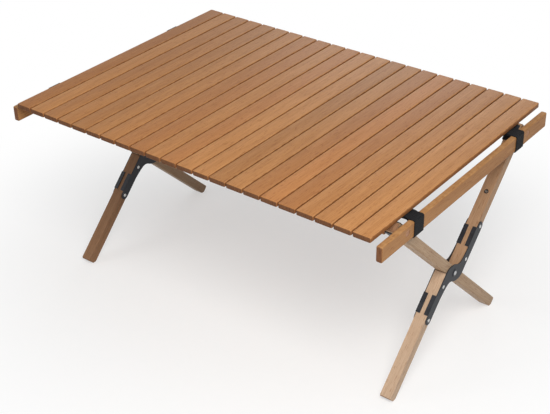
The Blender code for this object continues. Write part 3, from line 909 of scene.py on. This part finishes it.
def rail_loop_path():
    """The strap in (x, z) on the right side, from the last slat's middle round the rail."""
    last = middle_of(f"slat_{SLATS:02d}").x
    gap = STRAP_GAP + STRAP_THICK / 2
    top = rail_high.z + gap
    out = rail_high.x - OUTER_PRESS + gap
    under = rail_low.z - gap
    inner = rail_low.x - gap
    tail_z = rail_high.z - STRAP_THICK / 2 - TAIL_GAP
    path = [(last + PITCH / 2 * k / 5, STRAP_Z) for k in range(5)]
    path += [(last + SLAT_WIDTH / 2, STRAP_Z), (rail_low.x - SLOPE_BEFORE, STRAP_Z - SLOPE_DIP)]
    path += [(rail_low.x, top - EDGE_PRESS), (rail_low.x + SLOPE_AFTER, top)]
    path += arc_points(out - BEND, top - BEND, 90, 0)
    path += [(out, (top + under) / 2)]
    path += arc_points(out - BEND, under + BEND, 0, -90)
    path += arc_points(inner + BEND, under + BEND, 270, 180)
    path += [(inner, (top + under) / 2)]
    path += arc_points(inner - BEND, tail_z - BEND, 0, 90)
    path += [(inner - TAIL * 0.5, tail_z), (inner - TAIL, tail_z)]
    return path


def stitch(shape, middle, index):
    half = STITCH_HALF
    spots = ((-half, 0), (-half / 2, -STITCH_SAG), (half / 2, -STITCH_SAG), (half, 0))
    bent_wire(shape, [middle + Vector((0, y, z)) for y, z in spots], STITCH_RADIUS, index, sides=6)


loop_path = rail_loop_path()
stitch_z = rail_high.z - STRAP_THICK - TAIL_GAP
for label, side in SIDES:
    shape = bmesh.new()
    path = [(side * x, z) for x, z in loop_path]
    if side < 0:
        path = path[::-1]
    for strap_y in strap_middles:
        strap_solid(shape, path, strap_y, 0.0 if side > 0 else LEFT_WEAVE_START)
        for row in STITCH_ROWS:
            for k in range(STITCHES):
                across = (k - (STITCHES - 1) / 2) * STITCH_PITCH
                stitch(shape, Vector((side * (rail_low.x - row), strap_y + across, stitch_z)), 1)
    piece = new_piece(f"webbing_loop_{label}", shape, [webbing, thread], 50)
    end_slat = f"slat_{SLATS if side > 0 else 1:02d}"
    if side > 0:
        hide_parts("strap_near", "strap_far")
    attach(piece, end_slat)
print("rail loops", count_of("webbing_loop"))

# %% [markdown]
# Floor and background
#
# The photo shows the table cut out on white. Here it stands on a pale floor, which keeps the
# soft shadow near the feet. Where the camera or a glossy surface sees the floor, it fades
# to pure white away from the middle, because the share of a white glow grows outward.

# %% Floor
FLOOR_HALF = 6.0
FLOOR_Z = -0.0004
floor_recipe = Recipe("pale_floor")
floor_place = floor_recipe.texture_place()
floor_grain = floor_recipe.noise(floor_place, scale=40.0, detail=3.0, rough=0.6)
floor_tone = floor_recipe.colour((0.90, 0.90, 0.90), (0.93, 0.93, 0.93), floor_grain)
floor_recipe.finish(Base_Color=floor_tone, Roughness=0.9, Specular_IOR_Level=0.0)
distance = floor_recipe.node("ShaderNodeVectorMath", {"operation": "LENGTH"}, {0: floor_place}, "Value")
fade = distance.ramp(0.30, 0.95) * 0.55 + 0.45
from_camera = floor_recipe.node("ShaderNodeLightPath", output="Is Camera Ray")
from_gloss = floor_recipe.node("ShaderNodeLightPath", output="Is Glossy Ray")
glow = floor_recipe.node("ShaderNodeEmission", None, {"Color": (1, 1, 1, 1), "Strength": 1.0})
surface = Signal(floor_recipe, floor_recipe.shader.outputs[0])
glow_share = fade * from_camera.join("MAXIMUM", from_gloss)
floor_mix = floor_recipe.node("ShaderNodeMixShader", None, {0: glow_share, 1: surface, 2: glow})
floor_recipe.feed(floor_recipe.tree.nodes["Material Output"].inputs["Surface"], floor_mix)

floor_shape = bmesh.new()
floor_corners = [(-1, -1), (1, -1), (1, 1), (-1, 1)]
floor_shape.faces.new(
    [floor_shape.verts.new((x * FLOOR_HALF, y * FLOOR_HALF, FLOOR_Z)) for x, y in floor_corners]
)
floor = new_piece("floor", floor_shape, [floor_recipe.material], 35)
print("floor", FLOOR_HALF * 2, "m wide")

# %% [markdown]
# Light
#
# The world gives a weak, even light from every side, as a light tent does, and looks plain
# white where the camera, a glossy surface or a clear one sees it. One large lamp above the
# near right corner gives the top its brightness and lets the legs' near faces fall a little
# darker, as in the photo. A weaker lamp at the near left opens the shade under the table,
# and the weakest, behind, touches the far edges.

# %% World and lamps
world = bpy.data.worlds.new("light_tent")
bpy.context.scene.world = world
world.use_nodes = True
sky = world.node_tree
background = sky.nodes["Background"]
background.inputs["Color"].default_value = (0.95, 0.975, 1.0, 1.0)
background.inputs["Strength"].default_value = 0.42
paper = sky.nodes.new("ShaderNodeBackground")
paper.inputs["Color"].default_value = (1.0, 1.0, 1.0, 1.0)
ray = sky.nodes.new("ShaderNodeLightPath")
choose = sky.nodes.new("ShaderNodeMixShader")
seen = sky.nodes.new("ShaderNodeMath")
seen.operation = "MAXIMUM"
seen_through = sky.nodes.new("ShaderNodeMath")
seen_through.operation = "MAXIMUM"
sky.links.new(ray.outputs["Is Camera Ray"], seen.inputs[0])
sky.links.new(ray.outputs["Is Glossy Ray"], seen.inputs[1])
sky.links.new(seen.outputs[0], seen_through.inputs[0])
sky.links.new(ray.outputs["Is Transmission Ray"], seen_through.inputs[1])
sky.links.new(seen_through.outputs[0], choose.inputs[0])
sky.links.new(background.outputs[0], choose.inputs[1])
sky.links.new(paper.outputs[0], choose.inputs[2])
sky.links.new(choose.outputs[0], sky.nodes["World Output"].inputs[0])


def lamp(name, place, target, size, power, colour):
    data = bpy.data.lights.new(name, "AREA")
    data.shape = "DISK"
    data.size = size
    data.energy = power
    data.color = colour
    made = bpy.data.objects.new(name, data)
    bpy.context.scene.collection.objects.link(made)
    way = (Vector(target) - Vector(place)).normalized()
    made.matrix_world = Matrix.Translation(Vector(place)) @ way.to_track_quat("-Z", "Y").to_matrix().to_4x4()


lamp("key_lamp", (1.1, -1.1, 1.7), (0.2, -0.1, 0.3), size=1.0, power=32, colour=(1.0, 0.985, 0.955))
lamp("side_lamp", (-1.8, -2.2, 1.2), (0, 0, 0.2), size=1.4, power=12, colour=(1.0, 0.99, 0.97))
lamp("back_lamp", (-1.0, 2.3, 0.75), (0, 0, 0.2), size=1.3, power=7, colour=(1.0, 0.99, 0.97))
print("lamps", count_of("_lamp"))

# %% [markdown]
# Camera
#
# The photo's camera was found by matching the corners of the top, the rails and the leg
# edges: it looks down by 31.5 degrees, from 37.7 degrees round to the right, through a
# lens of about 77 mm.

# %% Camera
AZIMUTH = math.radians(37.722)
ELEVATION = math.radians(31.548)
ROLL = math.radians(-0.984)
LENS = 77.03
CAMERA_PLACE = Vector((1.26585, -1.64713, 1.43600))
forward = Vector((
    -math.sin(AZIMUTH) * math.cos(ELEVATION),
    math.cos(AZIMUTH) * math.cos(ELEVATION),
    -math.sin(ELEVATION),
))
right = Vector((math.cos(AZIMUTH), math.sin(AZIMUTH), 0))
up = right.cross(forward)
right_rolled = right * math.cos(ROLL) + up * math.sin(ROLL)
up_rolled = up * math.cos(ROLL) - right * math.sin(ROLL)
camera_data = bpy.data.cameras.new("photo_camera")
camera_data.sensor_fit = "HORIZONTAL"
camera_data.sensor_width = 36
camera_data.lens = LENS
camera_data.clip_end = 50
camera = bpy.data.objects.new("photo_camera", camera_data)
bpy.context.scene.collection.objects.link(camera)
turn = Matrix((right_rolled, up_rolled, -forward)).transposed().to_4x4()
camera.matrix_world = Matrix.Translation(CAMERA_PLACE) @ turn
bpy.context.scene.camera = camera
bpy.context.scene.view_settings.view_transform = "Standard"
print("camera at", tuple(round(v, 3) for v in CAMERA_PLACE))
